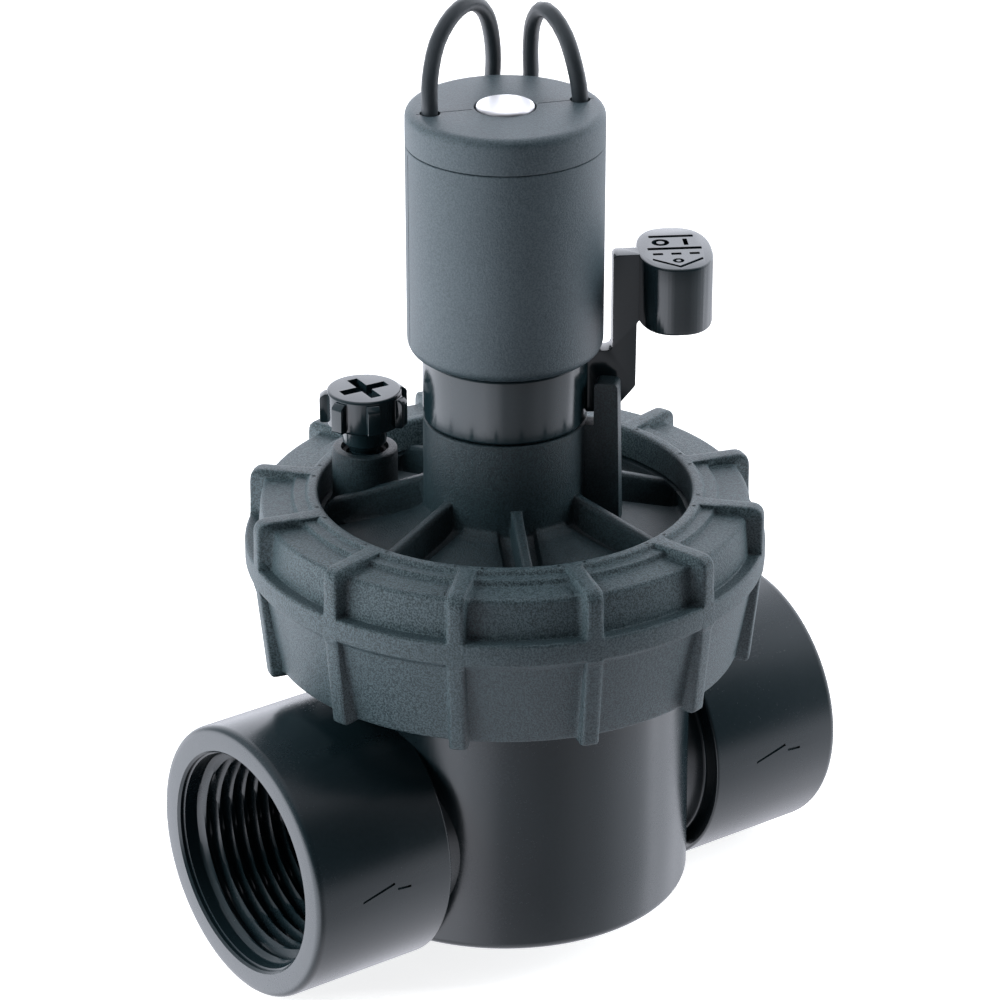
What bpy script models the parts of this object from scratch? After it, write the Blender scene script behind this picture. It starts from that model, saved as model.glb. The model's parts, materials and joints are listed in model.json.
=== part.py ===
"""A jar-top globe solenoid valve for irrigation water, shut, with its manual lever against its stop.

Lengths are millimetres here and the helpers turn them into metres. +Z is up, the spindle axis is Z, the
threaded ports lie along X with the inlet at +X, and z = 0 is the lowest line of the ports and the foot.
"""

import math

import bmesh
import bpy
from mathutils import Matrix, Vector

MM = 0.001
GAP = 0.3
ROUND_STEPS = 48
SMALL_STEPS = 24
MERGE = 1e-6

# Ports and bowl
PORT_RADIUS = 21.0
PORT_REACH = 48.6
HUB_START = 25.0
NECK_RADIUS = 18.0
PORT_BORE = 12.5
THREAD_MOUTH = 16.6
THREAD_END = 15.5
THREAD_DEPTH = 18.0
BOWL_RADIUS = 28.0
BOWL_BOTTOM = 5.33
CHAMBER_RADIUS = 25.2
CHAMBER_FLOOR = 8.5
BODY_TOP = 57.5
SEAT_TOP = 47.0
SEAT_BORE = 11.0
TUBE_WALL = 2.6

# Lock ring
RING_TOP = 69.33
RING_BOTTOM = 44.5
RING_HOLE = 27.9
RING_RADIUS = 39.0
LUG_COUNT = 12
LUG_THICKNESS = 2.5
LUG_START = math.radians(13.2)

# Bonnet and what stands on it
TOWER_RADIUS = 12.2
TOWER_TOP = 81.0
RIB_COUNT = 7
RIB_START = math.radians(139.0)
RIB_THICKNESS = 1.7
POST_ANGLE = math.radians(-46.0)
POST_THICKNESS = 3.2
BLEED_X = -13.2
BLEED_Y = 17.6
BLEED_BOSS_RADIUS = 4.95
BLEED_RIB_COUNT = 7
BLEED_RIB_START = math.radians(-111.7)
BLEED_SLOT_ANGLE = math.radians(-6.0)
BLEED_BOSS_TOP = 72.9

# Manual lever
COLLAR_TOP = 91.3
COLLAR_BOTTOM = 81.3
LEVER_ANGLE = math.radians(-31.0)
LEVER_THICKNESS = 3.2
LEVER_TOP = 106.3
KNOB_BOTTOM = 96.0

# Solenoid
COIL_RADIUS = 14.56
COIL_BOTTOM = 91.63
CAP_SEAM = 123.8
COIL_TOP = 129.33
LEAD_EXIT_RADIUS = 11.2
LEAD_EXIT_ANGLE = math.radians(159.0)

# Leads
LEAD_RADIUS = 1.2
LEAD_COIL_RADIUS = 12.4
LEAD_COIL_DEEP = 9.9
LEAD_COIL_FLOOR = 1.3
BEHIND = math.radians(53.8)
COIL_BEHIND = 63.0
COIL_ASIDE = -5.2
LEAD_COIL_TAIL = 9.0
BARE_LENGTH = 7.0
BARE_RADIUS = 0.6
TIE_WIDTH = 2.6
TIE_THICKNESS = 0.8


def startup_objects_removed():
    for obj in list(bpy.data.objects):
        bpy.data.objects.remove(obj, do_unlink=True)


startup_objects_removed()
PARTS = bpy.data.collections.new("solenoid_valve")
CUTTERS = bpy.data.collections.new("cutters")
bpy.context.scene.collection.children.link(PARTS)
bpy.context.scene.collection.children.link(CUTTERS)


# Helpers


def material(name, color, roughness, metallic=0.0):
    made = bpy.data.materials.new(name)
    made.use_nodes = True
    shader = made.node_tree.nodes["Principled BSDF"]
    shader.inputs["Base Color"].default_value = (*color, 1.0)
    shader.inputs["Roughness"].default_value = roughness
    shader.inputs["Metallic"].default_value = metallic
    return made


def added(name, mesh, look=None):
    """A named object: a part where it has a material, and a hidden cutter or helper where it hasn't."""
    obj = bpy.data.objects.new(name, mesh)
    if look:
        PARTS.objects.link(obj)
        mesh.materials.append(look)
    else:
        CUTTERS.objects.link(obj)
        obj.hide_render = True
        obj.display_type = "WIRE"
    return obj


def turned(name, outline, look=None, steps=ROUND_STEPS, at=(0.0, 0.0, 0.0)):
    """A profile of (radius, height) points turned about Z. It runs down its outer side."""
    mesh = bpy.data.meshes.new(name)
    edges = [(i, i + 1) for i in range(len(outline) - 1)]
    if outline[0][0] > 0:
        edges.append((len(outline) - 1, 0))
    mesh.from_pydata([(radius * MM, 0.0, height * MM) for radius, height in outline], edges, [])
    obj = added(name, mesh, look)
    obj.location = Vector(at) * MM
    screw = obj.modifiers.new("turn", "SCREW")
    screw.steps = steps
    screw.render_steps = steps
    screw.use_merge_vertices = True
    screw.merge_threshold = MERGE
    screw.use_smooth_shade = True
    return obj


def seal_ring(name, mean, thickness, height, look, at=(0.0, 0.0, 0.0), sides=6):
    """An O-ring of a round section."""
    half = thickness / 2
    section = [2 * math.pi * (i + 0.5) / sides for i in range(sides)]
    outline = [(mean + half * math.cos(-a), height + half * math.sin(-a)) for a in section]
    return turned(name, outline, look, steps=24, at=at)


def rod(name, radius, low, high, look=None, steps=SMALL_STEPS, end_radius=None, along="Z", at=(0.0, 0.0)):
    """A cylinder or cone from low to high along an axis; at places its axis on the other two, in order."""
    mesh = bpy.data.meshes.new(name)
    shape = bmesh.new()
    bmesh.ops.create_cone(
        shape,
        cap_ends=True,
        segments=steps,
        radius1=radius * MM,
        radius2=(radius if end_radius is None else end_radius) * MM,
        depth=(high - low) * MM,
    )
    middle = (low + high) / 2
    if along == "X":
        bmesh.ops.rotate(shape, verts=shape.verts, matrix=Matrix.Rotation(math.pi / 2, 3, "Y"))
        shift = (middle, at[0], at[1])
    else:
        shift = (at[0], at[1], middle)
    bmesh.ops.translate(shape, verts=shape.verts, vec=Vector(shift) * MM)
    shape.to_mesh(mesh)
    shape.free()
    return added(name, mesh, look)


def block(name, lows, highs, look=None, turn=0.0):
    """A box between two corners, turned about Z through the origin."""
    mesh = bpy.data.meshes.new(name)
    shape = bmesh.new()
    size = [(high - low) * MM for low, high in zip(lows, highs)]
    middle = [(high + low) / 2 * MM for low, high in zip(lows, highs)]
    bmesh.ops.create_cube(shape, size=1.0)
    bmesh.ops.scale(shape, verts=shape.verts, vec=size)
    bmesh.ops.translate(shape, verts=shape.verts, vec=middle)
    bmesh.ops.rotate(shape, verts=shape.verts, matrix=Matrix.Rotation(turn, 3, "Z"))
    shape.to_mesh(mesh)
    shape.free()
    return added(name, mesh, look)


def as_mesh(curve_object):
    """The curve as a closed mesh helper, with its loose caps welded."""
    graph = bpy.context.evaluated_depsgraph_get()
    mesh = bpy.data.meshes.new_from_object(curve_object.evaluated_get(graph))
    shape = bmesh.new()
    shape.from_mesh(mesh)
    bmesh.ops.remove_doubles(shape, verts=shape.verts, dist=MERGE)
    bmesh.ops.recalc_face_normals(shape, faces=shape.faces)
    shape.to_mesh(mesh)
    shape.free()
    name = curve_object.name
    place = curve_object.matrix_world.copy()
    bpy.data.objects.remove(curve_object, do_unlink=True)
    obj = added(name, mesh)
    obj.matrix_world = place
    return obj


def slab(name, outline, thickness, upright=False, turn=0.0, height=0.0):
    """A flat outline thickened about its own plane.

    It lies at a height, or stands upright with (radius, height) points.
    """
    curve = bpy.data.curves.new(name, "CURVE")
    curve.dimensions = "2D"
    curve.fill_mode = "BOTH"
    curve.extrude = thickness / 2 * MM
    spline = curve.splines.new("POLY")
    spline.points.add(len(outline) - 1)
    for point, (across, up) in zip(spline.points, outline):
        point.co = (across * MM, up * MM, 0.0, 1.0)
    spline.use_cyclic_u = True
    obj = bpy.data.objects.new(name, curve)
    CUTTERS.objects.link(obj)
    stand = Matrix.Rotation(math.pi / 2, 4, "X") if upright else Matrix.Translation((0.0, 0.0, height * MM))
    obj.matrix_world = Matrix.Rotation(turn, 4, "Z") @ stand
    bpy.context.view_layer.update()
    return as_mesh(obj)


def combined(obj, operation, others):
    for other in others:
        modifier = obj.modifiers.new(other.name, "BOOLEAN")
        modifier.operation = operation
        modifier.object = other
    return obj


def with_added(obj, *others):
    return combined(obj, "UNION", others)


def with_cut(obj, *others):
    return combined(obj, "DIFFERENCE", others)


def wire(name, points, radius, look):
    """A round wire through the points, in millimetres, with filled ends."""
    curve = bpy.data.curves.new(name, "CURVE")
    curve.dimensions = "3D"
    curve.bevel_depth = radius * MM
    curve.bevel_resolution = 2
    curve.use_fill_caps = True
    spline = curve.splines.new("POLY")
    spline.points.add(len(points) - 1)
    for point, place in zip(spline.points, points):
        point.co = (*(Vector(place) * MM), 1.0)
    obj = bpy.data.objects.new(name, curve)
    PARTS.objects.link(obj)
    curve.materials.append(look)
    return obj


def spring_points(mean, low, high, turns, per_turn=9):
    steps = int(turns * per_turn)
    return [
        (
            mean * math.cos(2 * math.pi * i / per_turn),
            mean * math.sin(2 * math.pi * i / per_turn),
            low + (high - low) * i / steps,
        )
        for i in range(steps + 1)
    ]


def smooth(points, spacing):
    """Points about a spacing apart on a Catmull-Rom curve through the route's own points."""
    places = [Vector(p) for p in points]
    ends = [2 * places[0] - places[1], *places, 2 * places[-1] - places[-2]]
    found = [places[0]]
    for before, start, end, after in zip(ends, ends[1:], ends[2:], ends[3:]):
        pieces = max(1, round((end - start).length / spacing))
        for i in range(1, pieces + 1):
            t = i / pieces
            found.append(
                0.5
                * (
                    2 * start
                    + (end - before) * t
                    + (2 * before - 5 * start + 4 * end - after) * t**2
                    + (3 * start - before - 3 * end + after) * t**3
                )
            )
    return found


def behind(back, aside, height):
    """A place given by its distance behind the spindle, its offset to the outlet's side, and its height."""
    across = BEHIND + math.pi / 2
    return (
        back * math.cos(BEHIND) + aside * math.cos(across),
        back * math.sin(BEHIND) + aside * math.sin(across),
        height,
    )


def joint_empty(name, at):
    """An empty on a joint's axis, to parent a moving group to."""
    empty = bpy.data.objects.new(name, None)
    empty.empty_display_size = 0.01
    empty.location = Vector(at) * MM
    PARTS.objects.link(empty)
    return empty


def held_by(empty, *pieces):
    for piece in pieces:
        piece.parent = empty
        piece.matrix_parent_inverse = Matrix.Translation(-empty.location)


# Materials

BODY_PLASTIC = material("body_plastic", (0.035, 0.038, 0.042), 0.32)
GRAINED_PLASTIC = material("grained_plastic", (0.06, 0.066, 0.072), 0.7)
GLOSS_PLASTIC = material("gloss_plastic", (0.03, 0.033, 0.036), 0.25)
COIL_RESIN = material("coil_resin", (0.075, 0.078, 0.085), 0.6)
RUBBER = material("rubber", (0.02, 0.02, 0.02), 0.8)
STEEL = material("steel", (0.7, 0.7, 0.7), 0.3, 1.0)
COPPER = material("copper", (0.75, 0.38, 0.2), 0.3, 1.0)
NYLON = material("nylon", (0.75, 0.72, 0.64), 0.5)
INSULATION = material("lead_insulation", (0.09, 0.093, 0.1), 0.5)


# Body


def make_valve_body():
    """The bowl with both ports, necked in beside it, the seat tube with its elbow, and the foot."""
    outer = [
        (0, BODY_TOP),
        (32.8, BODY_TOP),
        (32.8, 48.0),
        (BOWL_RADIUS, 45.0),
        (BOWL_RADIUS, BOWL_BOTTOM + 1.0),
        (BOWL_RADIUS - 1.0, BOWL_BOTTOM),
        (0, BOWL_BOTTOM),
    ]
    body = turned("valve_body", outer, BODY_PLASTIC)
    lying = {"along": "X", "at": (0, PORT_RADIUS)}
    ports = rod("ports", PORT_RADIUS, -PORT_REACH, PORT_REACH, steps=ROUND_STEPS, **lying)
    crease = rod("crease", PORT_RADIUS + 1, -HUB_START, HUB_START, steps=ROUND_STEPS, **lying)
    neck = rod("neck", NECK_RADIUS, -HUB_START - 1, HUB_START + 1, steps=ROUND_STEPS, **lying)
    with_cut(crease, neck)
    with_cut(ports, crease)
    chamber = turned(
        "chamber_cut",
        [
            (0, BODY_TOP + 2),
            (CHAMBER_RADIUS, BODY_TOP + 2),
            (CHAMBER_RADIUS, CHAMBER_FLOOR),
            (0, CHAMBER_FLOOR),
        ],
        steps=48,
    )
    seat_tube = rod("seat_tube", SEAT_BORE + TUBE_WALL, CHAMBER_FLOOR - 1, SEAT_TOP, steps=40)
    elbow = rod("outlet_elbow", PORT_BORE + TUBE_WALL, -CHAMBER_RADIUS - 2, 2.0, steps=40, **lying)
    with_cut(chamber, seat_tube, elbow)
    foot_long = block("foot_long", (-14, -1.6, 0), (14, 1.6, BOWL_BOTTOM + 1))
    foot_cross = block("foot_cross", (-1.6, -14, 0), (1.6, 14, BOWL_BOTTOM + 1))
    with_added(body, ports, foot_long, foot_cross)
    groove = [(28.2, BODY_TOP + 1), (31.8, BODY_TOP + 1), (31.8, 55.9), (28.2, 55.9)]
    bead_groove = turned("bead_groove_cut", groove, steps=48)
    with_cut(
        body,
        chamber,
        bead_groove,
        rod("seat_bore_cut", SEAT_BORE, 14.0, SEAT_TOP + 2, steps=40),
        rod("outlet_cut", PORT_BORE, -PORT_REACH - 1, 0, steps=40, **lying),
        rod("inlet_cut", PORT_BORE, 18.0, PORT_REACH + 1, steps=40, **lying),
    )
    for side, name in ((-1, "outlet_mouth_cut"), (1, "inlet_mouth_cut")):
        inner = PORT_REACH - THREAD_DEPTH
        mouth = rod(
            name,
            THREAD_END if side > 0 else THREAD_MOUTH,
            inner if side > 0 else -PORT_REACH - 0.01,
            PORT_REACH + 0.01 if side > 0 else -inner,
            end_radius=THREAD_MOUTH if side > 0 else THREAD_END,
            steps=48,
            **lying,
        )
        with_cut(body, mouth)
    return body


def make_lock_ring():
    """The screwed ring: a lip, a stepped shoulder, a band and a tapered skirt, with twelve grip lugs."""
    outline = [
        (RING_HOLE, RING_TOP),
        (29.4, RING_TOP),
        (29.9, 68.1),
        (36.0, 68.0),
        (36.5, 67.5),
        (37.0, 61.9),
        (RING_RADIUS, 61.9),
        (RING_RADIUS, 58.4),
        (37.7, 57.9),
        (35.3, RING_BOTTOM),
        (33.6, RING_BOTTOM),
        (33.6, 64.6),
        (RING_HOLE, 64.6),
    ]
    ring = turned("lock_ring", outline, GRAINED_PLASTIC)
    lug = [
        (28.9, RING_TOP),
        (38.2, RING_TOP),
        (RING_RADIUS, RING_TOP - 0.8),
        (RING_RADIUS, 58.3),
        (37.2, RING_BOTTOM - 0.6),
        (34.4, RING_BOTTOM - 0.6),
        (34.8, 65.6),
        (28.9, 66.0),
    ]
    for i in range(LUG_COUNT):
        turn = LUG_START + 2 * math.pi * i / LUG_COUNT
        with_added(ring, slab(f"lug_{i}", lug, LUG_THICKNESS, upright=True, turn=turn))
    return ring


# Bonnet


def make_bonnet():
    """The clamped flange, coned floor and tower, with ribs, the lever's stop post and the bleed boss."""
    outline = [
        (8.5, TOWER_TOP),
        (9.4, TOWER_TOP),
        (9.4, 79.5),
        (11.4, 79.5),
        (11.4, TOWER_TOP),
        (TOWER_RADIUS, TOWER_TOP),
        (TOWER_RADIUS, 66.9),
        (13.2, 65.9),
        (26.9, 61.9),
        (27.5, 64.2),
        (32.8, 64.2),
        (32.8, 59.3),
        (24.4, 59.3),
        (22.0, 60.8),
        (9.2, 64.0),
        (1.1, 64.0),
        (1.1, 71.1),
        (2.3, 71.1),
        (2.8, 70.0),
        (8.5, 70.0),
    ]
    bonnet = turned("bonnet", outline, GRAINED_PLASTIC)
    rib = [(10.0, 70.6), (12.4, 70.6), (25.8, 66.2), (26.6, 65.2), (26.6, 61.5), (10.0, 65.0)]
    for i in range(RIB_COUNT):
        turn = RIB_START + 2 * math.pi * i / RIB_COUNT
        with_added(bonnet, slab(f"bonnet_rib_{i}", rib, RIB_THICKNESS, upright=True, turn=turn))
    post = [
        (11.0, 64.0),
        (17.5, 62.8),
        (17.0, 87.0),
        (16.4, 87.6),
        (14.1, 87.6),
        (13.5, 87.0),
        (13.5, 80.8),
        (11.0, 80.8),
    ]
    with_added(bonnet, slab("stop_post", post, POST_THICKNESS, upright=True, turn=POST_ANGLE))
    bleed_at = (BLEED_X, BLEED_Y)
    with_added(bonnet, rod("bleed_boss", BLEED_BOSS_RADIUS, 62.2, BLEED_BOSS_TOP, steps=32, at=bleed_at))
    with_cut(
        bonnet,
        rod("bleed_bore_cut", 2.5, 66.0, BLEED_BOSS_TOP + 1, at=bleed_at),
        rod("bleed_oring_cut", 3.9, 71.2, BLEED_BOSS_TOP + 1, at=bleed_at),
        rod("bleed_passage_cut", 0.8, 58.0, 67.0, steps=12, at=bleed_at),
    )
    return bonnet


# Diaphragm, seat and main spring


def make_diaphragm_parts():
    """The rubber diaphragm with its beaded rim, and the pieces clamped through its middle."""
    turned(
        "diaphragm",
        [
            (2.5, 51.6),
            (13.2, 51.6),
            (23.6, 58.9),
            (32.6, 58.9),
            (32.6, 57.8),
            (31.4, 57.8),
            (31.4, 56.3),
            (28.6, 56.3),
            (28.6, 57.8),
            (24.2, 57.8),
            (13.8, 50.4),
            (2.5, 50.4),
        ],
        RUBBER,
        steps=36,
    )
    turned(
        "diaphragm_plate",
        [(2.3, 56.2), (5.0, 56.2), (5.0, 53.3), (12.2, 53.3), (12.2, 51.9), (2.3, 51.9)],
        NYLON,
        steps=32,
    )
    turned("seat_disc", [(5.6, 50.1), (13.2, 50.1), (13.2, 47.3), (5.6, 47.3)], RUBBER, steps=32)
    turned(
        "seat_retainer",
        [(2.3, 50.1), (5.2, 50.1), (5.2, 47.0), (9.5, 47.0), (9.5, 45.4), (2.3, 45.4)],
        NYLON,
        steps=32,
    )
    turned(
        "diaphragm_screw",
        [(0, 57.2), (1.9, 57.2), (1.9, 45.1), (4.0, 45.1), (4.0, 43.0), (3.4, 42.4), (0, 42.4)],
        STEEL,
        steps=20,
    )
    wire("diaphragm_spring", spring_points(8.0, 54.3, 63.2, 4.5), 0.5, STEEL)


# Manual lever


def make_manual_handle():
    """The collar round the solenoid's stem, with its upright arm and the knob."""
    collar = [
        (8.6, COLLAR_TOP),
        (TOWER_RADIUS, COLLAR_TOP),
        (TOWER_RADIUS, COLLAR_BOTTOM),
        (8.6, COLLAR_BOTTOM),
    ]
    handle = turned("manual_handle", collar, GLOSS_PLASTIC)
    arm = [
        (10.6, 81.5),
        (15.9, 81.5),
        (19.2, 85.4),
        (19.2, 95.2),
        (19.9, 96.0),
        (19.9, LEVER_TOP),
        (15.8, LEVER_TOP),
        (15.8, 91.9),
        (15.2, COLLAR_TOP),
        (10.6, COLLAR_TOP),
    ]
    knob = [
        (19.2, -1.6),
        (20.3, -4.2),
        (22.2, -7.2),
        (25.0, -8.7),
        (28.0, -8.6),
        (29.7, -7.0),
        (30.4, -4.6),
        (30.4, 4.6),
        (29.7, 7.0),
        (28.0, 8.6),
        (25.0, 8.7),
        (22.2, 7.2),
        (20.3, 4.2),
        (19.2, 1.6),
    ]
    with_added(
        handle,
        slab("lever_arm", arm, LEVER_THICKNESS, upright=True, turn=LEVER_ANGLE),
        slab(
            "lever_knob",
            knob,
            LEVER_TOP - KNOB_BOTTOM,
            turn=LEVER_ANGLE,
            height=(LEVER_TOP + KNOB_BOTTOM) / 2,
        ),
    )
    return handle


# Bleed screw


def make_bleed_screw():
    """The knurled knob with a cross slot, its neck and its point, about its own axis."""
    outline = [
        (0, 82.3),
        (5.2, 82.3),
        (5.6, 81.9),
        (5.6, 76.9),
        (2.7, 76.9),
        (2.7, 73.2),
        (2.2, 72.6),
        (2.2, 68.2),
        (0.9, 66.5),
        (0, 66.5),
    ]
    screw = turned("bleed_screw", outline, GLOSS_PLASTIC, steps=32, at=(BLEED_X, BLEED_Y, 0))
    for i in range(BLEED_RIB_COUNT):
        turn = BLEED_RIB_START + 2 * math.pi * i / BLEED_RIB_COUNT
        rib = block(f"bleed_rib_{i}", (4.4, -0.95, 77.2), (6.7, 0.95, 81.9), turn=turn)
        rib.location = (BLEED_X * MM, BLEED_Y * MM, 0.0)
        with_added(screw, rib)
    for i in range(2):
        turn = BLEED_SLOT_ANGLE + math.pi / 2 * i
        slot = block(f"bleed_slot_{i}", (-3.8, -0.85, 80.9), (3.8, 0.85, 83.0), turn=turn)
        slot.location = (BLEED_X * MM, BLEED_Y * MM, 0.0)
        with_cut(screw, slot)
    return screw


# Solenoid


def lead_exits():
    """The places of the two lead holes in the cap."""
    angles = (LEAD_EXIT_ANGLE, LEAD_EXIT_ANGLE + math.pi)
    return [(LEAD_EXIT_RADIUS * math.cos(angle), LEAD_EXIT_RADIUS * math.sin(angle)) for angle in angles]


def make_solenoid():
    """The moulded coil with its cap, and inside it the winding, steel frame, core and stem tube."""
    radius = COIL_RADIUS
    bottom = COIL_BOTTOM
    turned(
        "solenoid_housing",
        [
            (13.3, CAP_SEAM),
            (radius, CAP_SEAM),
            (radius, bottom + 2.0),
            (radius - 0.6, bottom + 0.6),
            (radius - 2.0, bottom),
            (6.0, bottom),
            (6.0, bottom + 0.9),
            (13.3, bottom + 0.9),
        ],
        COIL_RESIN,
    )
    cap = turned(
        "solenoid_cap",
        [
            (4.7, COIL_TOP),
            (radius - 1.2, COIL_TOP),
            (radius - 0.35, COIL_TOP - 0.35),
            (radius, COIL_TOP - 1.2),
            (radius, CAP_SEAM + GAP),
            (4.7, CAP_SEAM + GAP),
        ],
        COIL_RESIN,
    )
    for i, place in enumerate(lead_exits()):
        with_cut(cap, rod(f"lead_hole_cut_{i}", LEAD_RADIUS + GAP, CAP_SEAM - 1, COIL_TOP + 1, at=place))
    turned(
        "coil_bobbin",
        [
            (5.8, 115.6),
            (11.0, 115.6),
            (11.0, 114.4),
            (6.8, 114.4),
            (6.8, 95.6),
            (11.0, 95.6),
            (11.0, 94.4),
            (5.8, 94.4),
        ],
        NYLON,
        steps=24,
    )
    turned("coil_winding", [(7.1, 114.1), (10.7, 114.1), (10.7, 95.9), (7.1, 95.9)], COPPER, steps=24)
    frame = block("flux_bracket", (11.5, -3.5, 92.9), (12.6, 3.5, 117.2), STEEL)
    for low, high in ((92.9, 94.0), (116.0, 117.2)):
        with_added(
            frame,
            block(f"bracket_plate_{low:.0f}", (-8.0, -7.0, low), (10.0, 7.0, high)),
            block(f"bracket_tongue_{low:.0f}", (9.0, -3.5, low), (12.6, 3.5, high)),
        )
    with_cut(frame, rod("bracket_stem_cut", 5.8, 92.0, 95.0), rod("bracket_core_cut", 4.6, 115.0, 118.0))
    turned(
        "stem_tube",
        [
            (4.6, 115.2),
            (5.4, 115.2),
            (5.4, 91.2),
            (8.2, 91.2),
            (8.2, 72.4),
            (7.6, 72.1),
            (4.6, 72.1),
        ],
        NYLON,
        steps=24,
    )
    core = [(0, 129.75), (3.9, 129.75), (4.3, 129.4), (4.3, 104.3), (0, 104.3)]
    turned("fixed_core", core, STEEL, steps=32)
    seal_ring("stem_oring", 6.6, 1.4, 71.05, RUBBER)
    seal_ring("handle_oring", 10.4, 1.3, 80.45, RUBBER)
    turned(
        "plunger",
        [(0, 96.0), (2.0, 96.0), (2.0, 102.4), (4.3, 102.4), (4.3, 74.0), (0, 74.0)],
        STEEL,
        steps=28,
    )
    turned("plunger_seal", [(0, 73.7), (2.6, 73.7), (2.6, 71.4), (0, 71.4)], RUBBER, steps=20)
    wire("plunger_spring", spring_points(1.5, 97.0, 103.7, 6, per_turn=8), 0.22, STEEL)


# Leads. Each leaves its hole in the cap, arches over to the back, hangs down behind and is coiled there.

LEAD_ROUTES = {
    "left": [
        (-2.94, 10.81, 126.0),
        (-2.9, 10.85, 130.0),
        (-1.6, 10.8, 134.0),
        (1.4, 9.8, 138.4),
        (4.6, 7.6, 141.5),
        (8.2, 5.0, 142.2),
        (11.9, 2.9, 139.4),
        (14.9, 1.9, 134.0),
        (16.8, 1.9, 127.6),
        (17.4, 3.2, 118.0),
        (17.4, 5.6, 108.0),
        (17.8, 7.6, 98.5),
        (21.0, 8.4, 90.5),
        (28.0, 8.5, 83.0),
        (35.8, 8.5, 76.6),
        (41.2, 8.4, 70.8),
        (43.6, 8.2, 61.0),
        (43.9, 8.0, 47.0),
        (43.7, 7.7, 31.0),
        (44.3, 7.4, 20.0),
        (48.2, 7.2, 12.0),
        (54.6, 7.2, 9.95),
    ],
    "right": [
        (2.94, -10.81, 126.0),
        (2.9, -10.8, 130.0),
        (3.9, -10.0, 134.2),
        (6.2, -8.7, 137.8),
        (9.0, -6.9, 140.0),
        (12.0, -5.2, 139.9),
        (14.5, -4.0, 136.8),
        (16.2, -3.7, 132.0),
        (17.1, -3.7, 126.5),
        (17.4, -2.2, 117.0),
        (17.5, 1.4, 107.0),
        (18.2, 4.5, 97.5),
        (22.0, 5.4, 90.0),
        (29.5, 5.6, 83.6),
        (38.0, 5.8, 77.8),
        (44.0, 6.0, 71.6),
        (46.6, 6.3, 62.0),
        (46.9, 6.7, 48.0),
        (46.9, 7.0, 35.0),
        (48.6, 7.2, 25.4),
        (54.6, 7.2, 20.15),
    ],
}
LEAD_COIL_BOTTOMS = {"left": LEAD_COIL_FLOOR, "right": LEAD_COIL_FLOOR + LEAD_COIL_DEEP + GAP}


def make_leads():
    """Two insulated leads, each with its plain tube, its coil's ring and its bared end; and the tie."""
    centre = behind(COIL_BEHIND, COIL_ASIDE, 0.0)
    half = LEAD_RADIUS + 0.05
    for side, route in LEAD_ROUTES.items():
        places = smooth([behind(*point) for point in route], 6.0)
        wire(f"lead_{side}", places, LEAD_RADIUS, INSULATION)
        low = LEAD_COIL_BOTTOMS[side]
        outline = [
            (LEAD_COIL_RADIUS - half, low + LEAD_COIL_DEEP),
            (LEAD_COIL_RADIUS + half, low + LEAD_COIL_DEEP),
            (LEAD_COIL_RADIUS + half, low),
            (LEAD_COIL_RADIUS - half, low),
        ]
        turned(f"lead_coil_{side}", outline, INSULATION, steps=32, at=centre)
        end_back = COIL_BEHIND + LEAD_COIL_RADIUS
        end_low = low + half
        end_aside = COIL_ASIDE - LEAD_COIL_TAIL
        bare = [behind(end_back, end_aside - far, end_low) for far in (GAP, BARE_LENGTH)]
        wire(f"lead_end_{side}", bare, BARE_RADIUS, COPPER)
    top = LEAD_COIL_BOTTOMS["right"] + LEAD_COIL_DEEP
    inner = LEAD_COIL_RADIUS - half - GAP
    outer = LEAD_COIL_RADIUS + half + GAP
    tie = block(
        "lead_tie",
        (inner - TIE_THICKNESS, -TIE_WIDTH / 2, LEAD_COIL_FLOOR - GAP - TIE_THICKNESS),
        (outer + TIE_THICKNESS, TIE_WIDTH / 2, top + GAP + TIE_THICKNESS),
        NYLON,
        turn=BEHIND - math.pi / 2,
    )
    tie.location = Vector(centre) * MM
    hole = block(
        "tie_cut",
        (inner, -TIE_WIDTH, LEAD_COIL_FLOOR - GAP),
        (outer, TIE_WIDTH, top + GAP),
        turn=BEHIND - math.pi / 2,
    )
    hole.location = tie.location
    with_cut(tie, hole)


# The assembly, with an empty on the axis of each joint


def main():
    make_valve_body()
    make_diaphragm_parts()
    make_solenoid()
    make_leads()
    hub = ("diaphragm_plate", "seat_disc", "seat_retainer", "diaphragm_screw")
    moving = {
        "ring_axis": ((0, 0, RING_BOTTOM), [make_lock_ring()]),
        "bonnet_frame": ((0, 0, BODY_TOP), [make_bonnet()]),
        "lever_axis": ((0, 0, COLLAR_BOTTOM), [make_manual_handle()]),
        "bleed_axis": ((BLEED_X, BLEED_Y, BLEED_BOSS_TOP), [make_bleed_screw()]),
        "plunger_axis": ((0, 0, 74.0), [bpy.data.objects["plunger"], bpy.data.objects["plunger_seal"]]),
        "diaphragm_axis": ((0, 0, SEAT_TOP), [bpy.data.objects[name] for name in hub]),
    }
    seal_ring("bleed_screw_oring", 3.3, 0.9, 71.8, RUBBER, at=(BLEED_X, BLEED_Y, 0.0))
    for name, (place, pieces) in moving.items():
        held_by(joint_empty(name, place), *pieces)


main()
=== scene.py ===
"""Looks of a jar-top solenoid valve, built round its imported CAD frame.

Shapes are in millimetres in the CAD's own frame, and the mesh helpers turn them into metres. Z is the
spindle axis, the ports lie along X, and the main heights and reaches come from the boxes of CAD nodes.
"""

import json
import math

import bmesh
import bpy
from mathutils import Matrix, Vector


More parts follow.
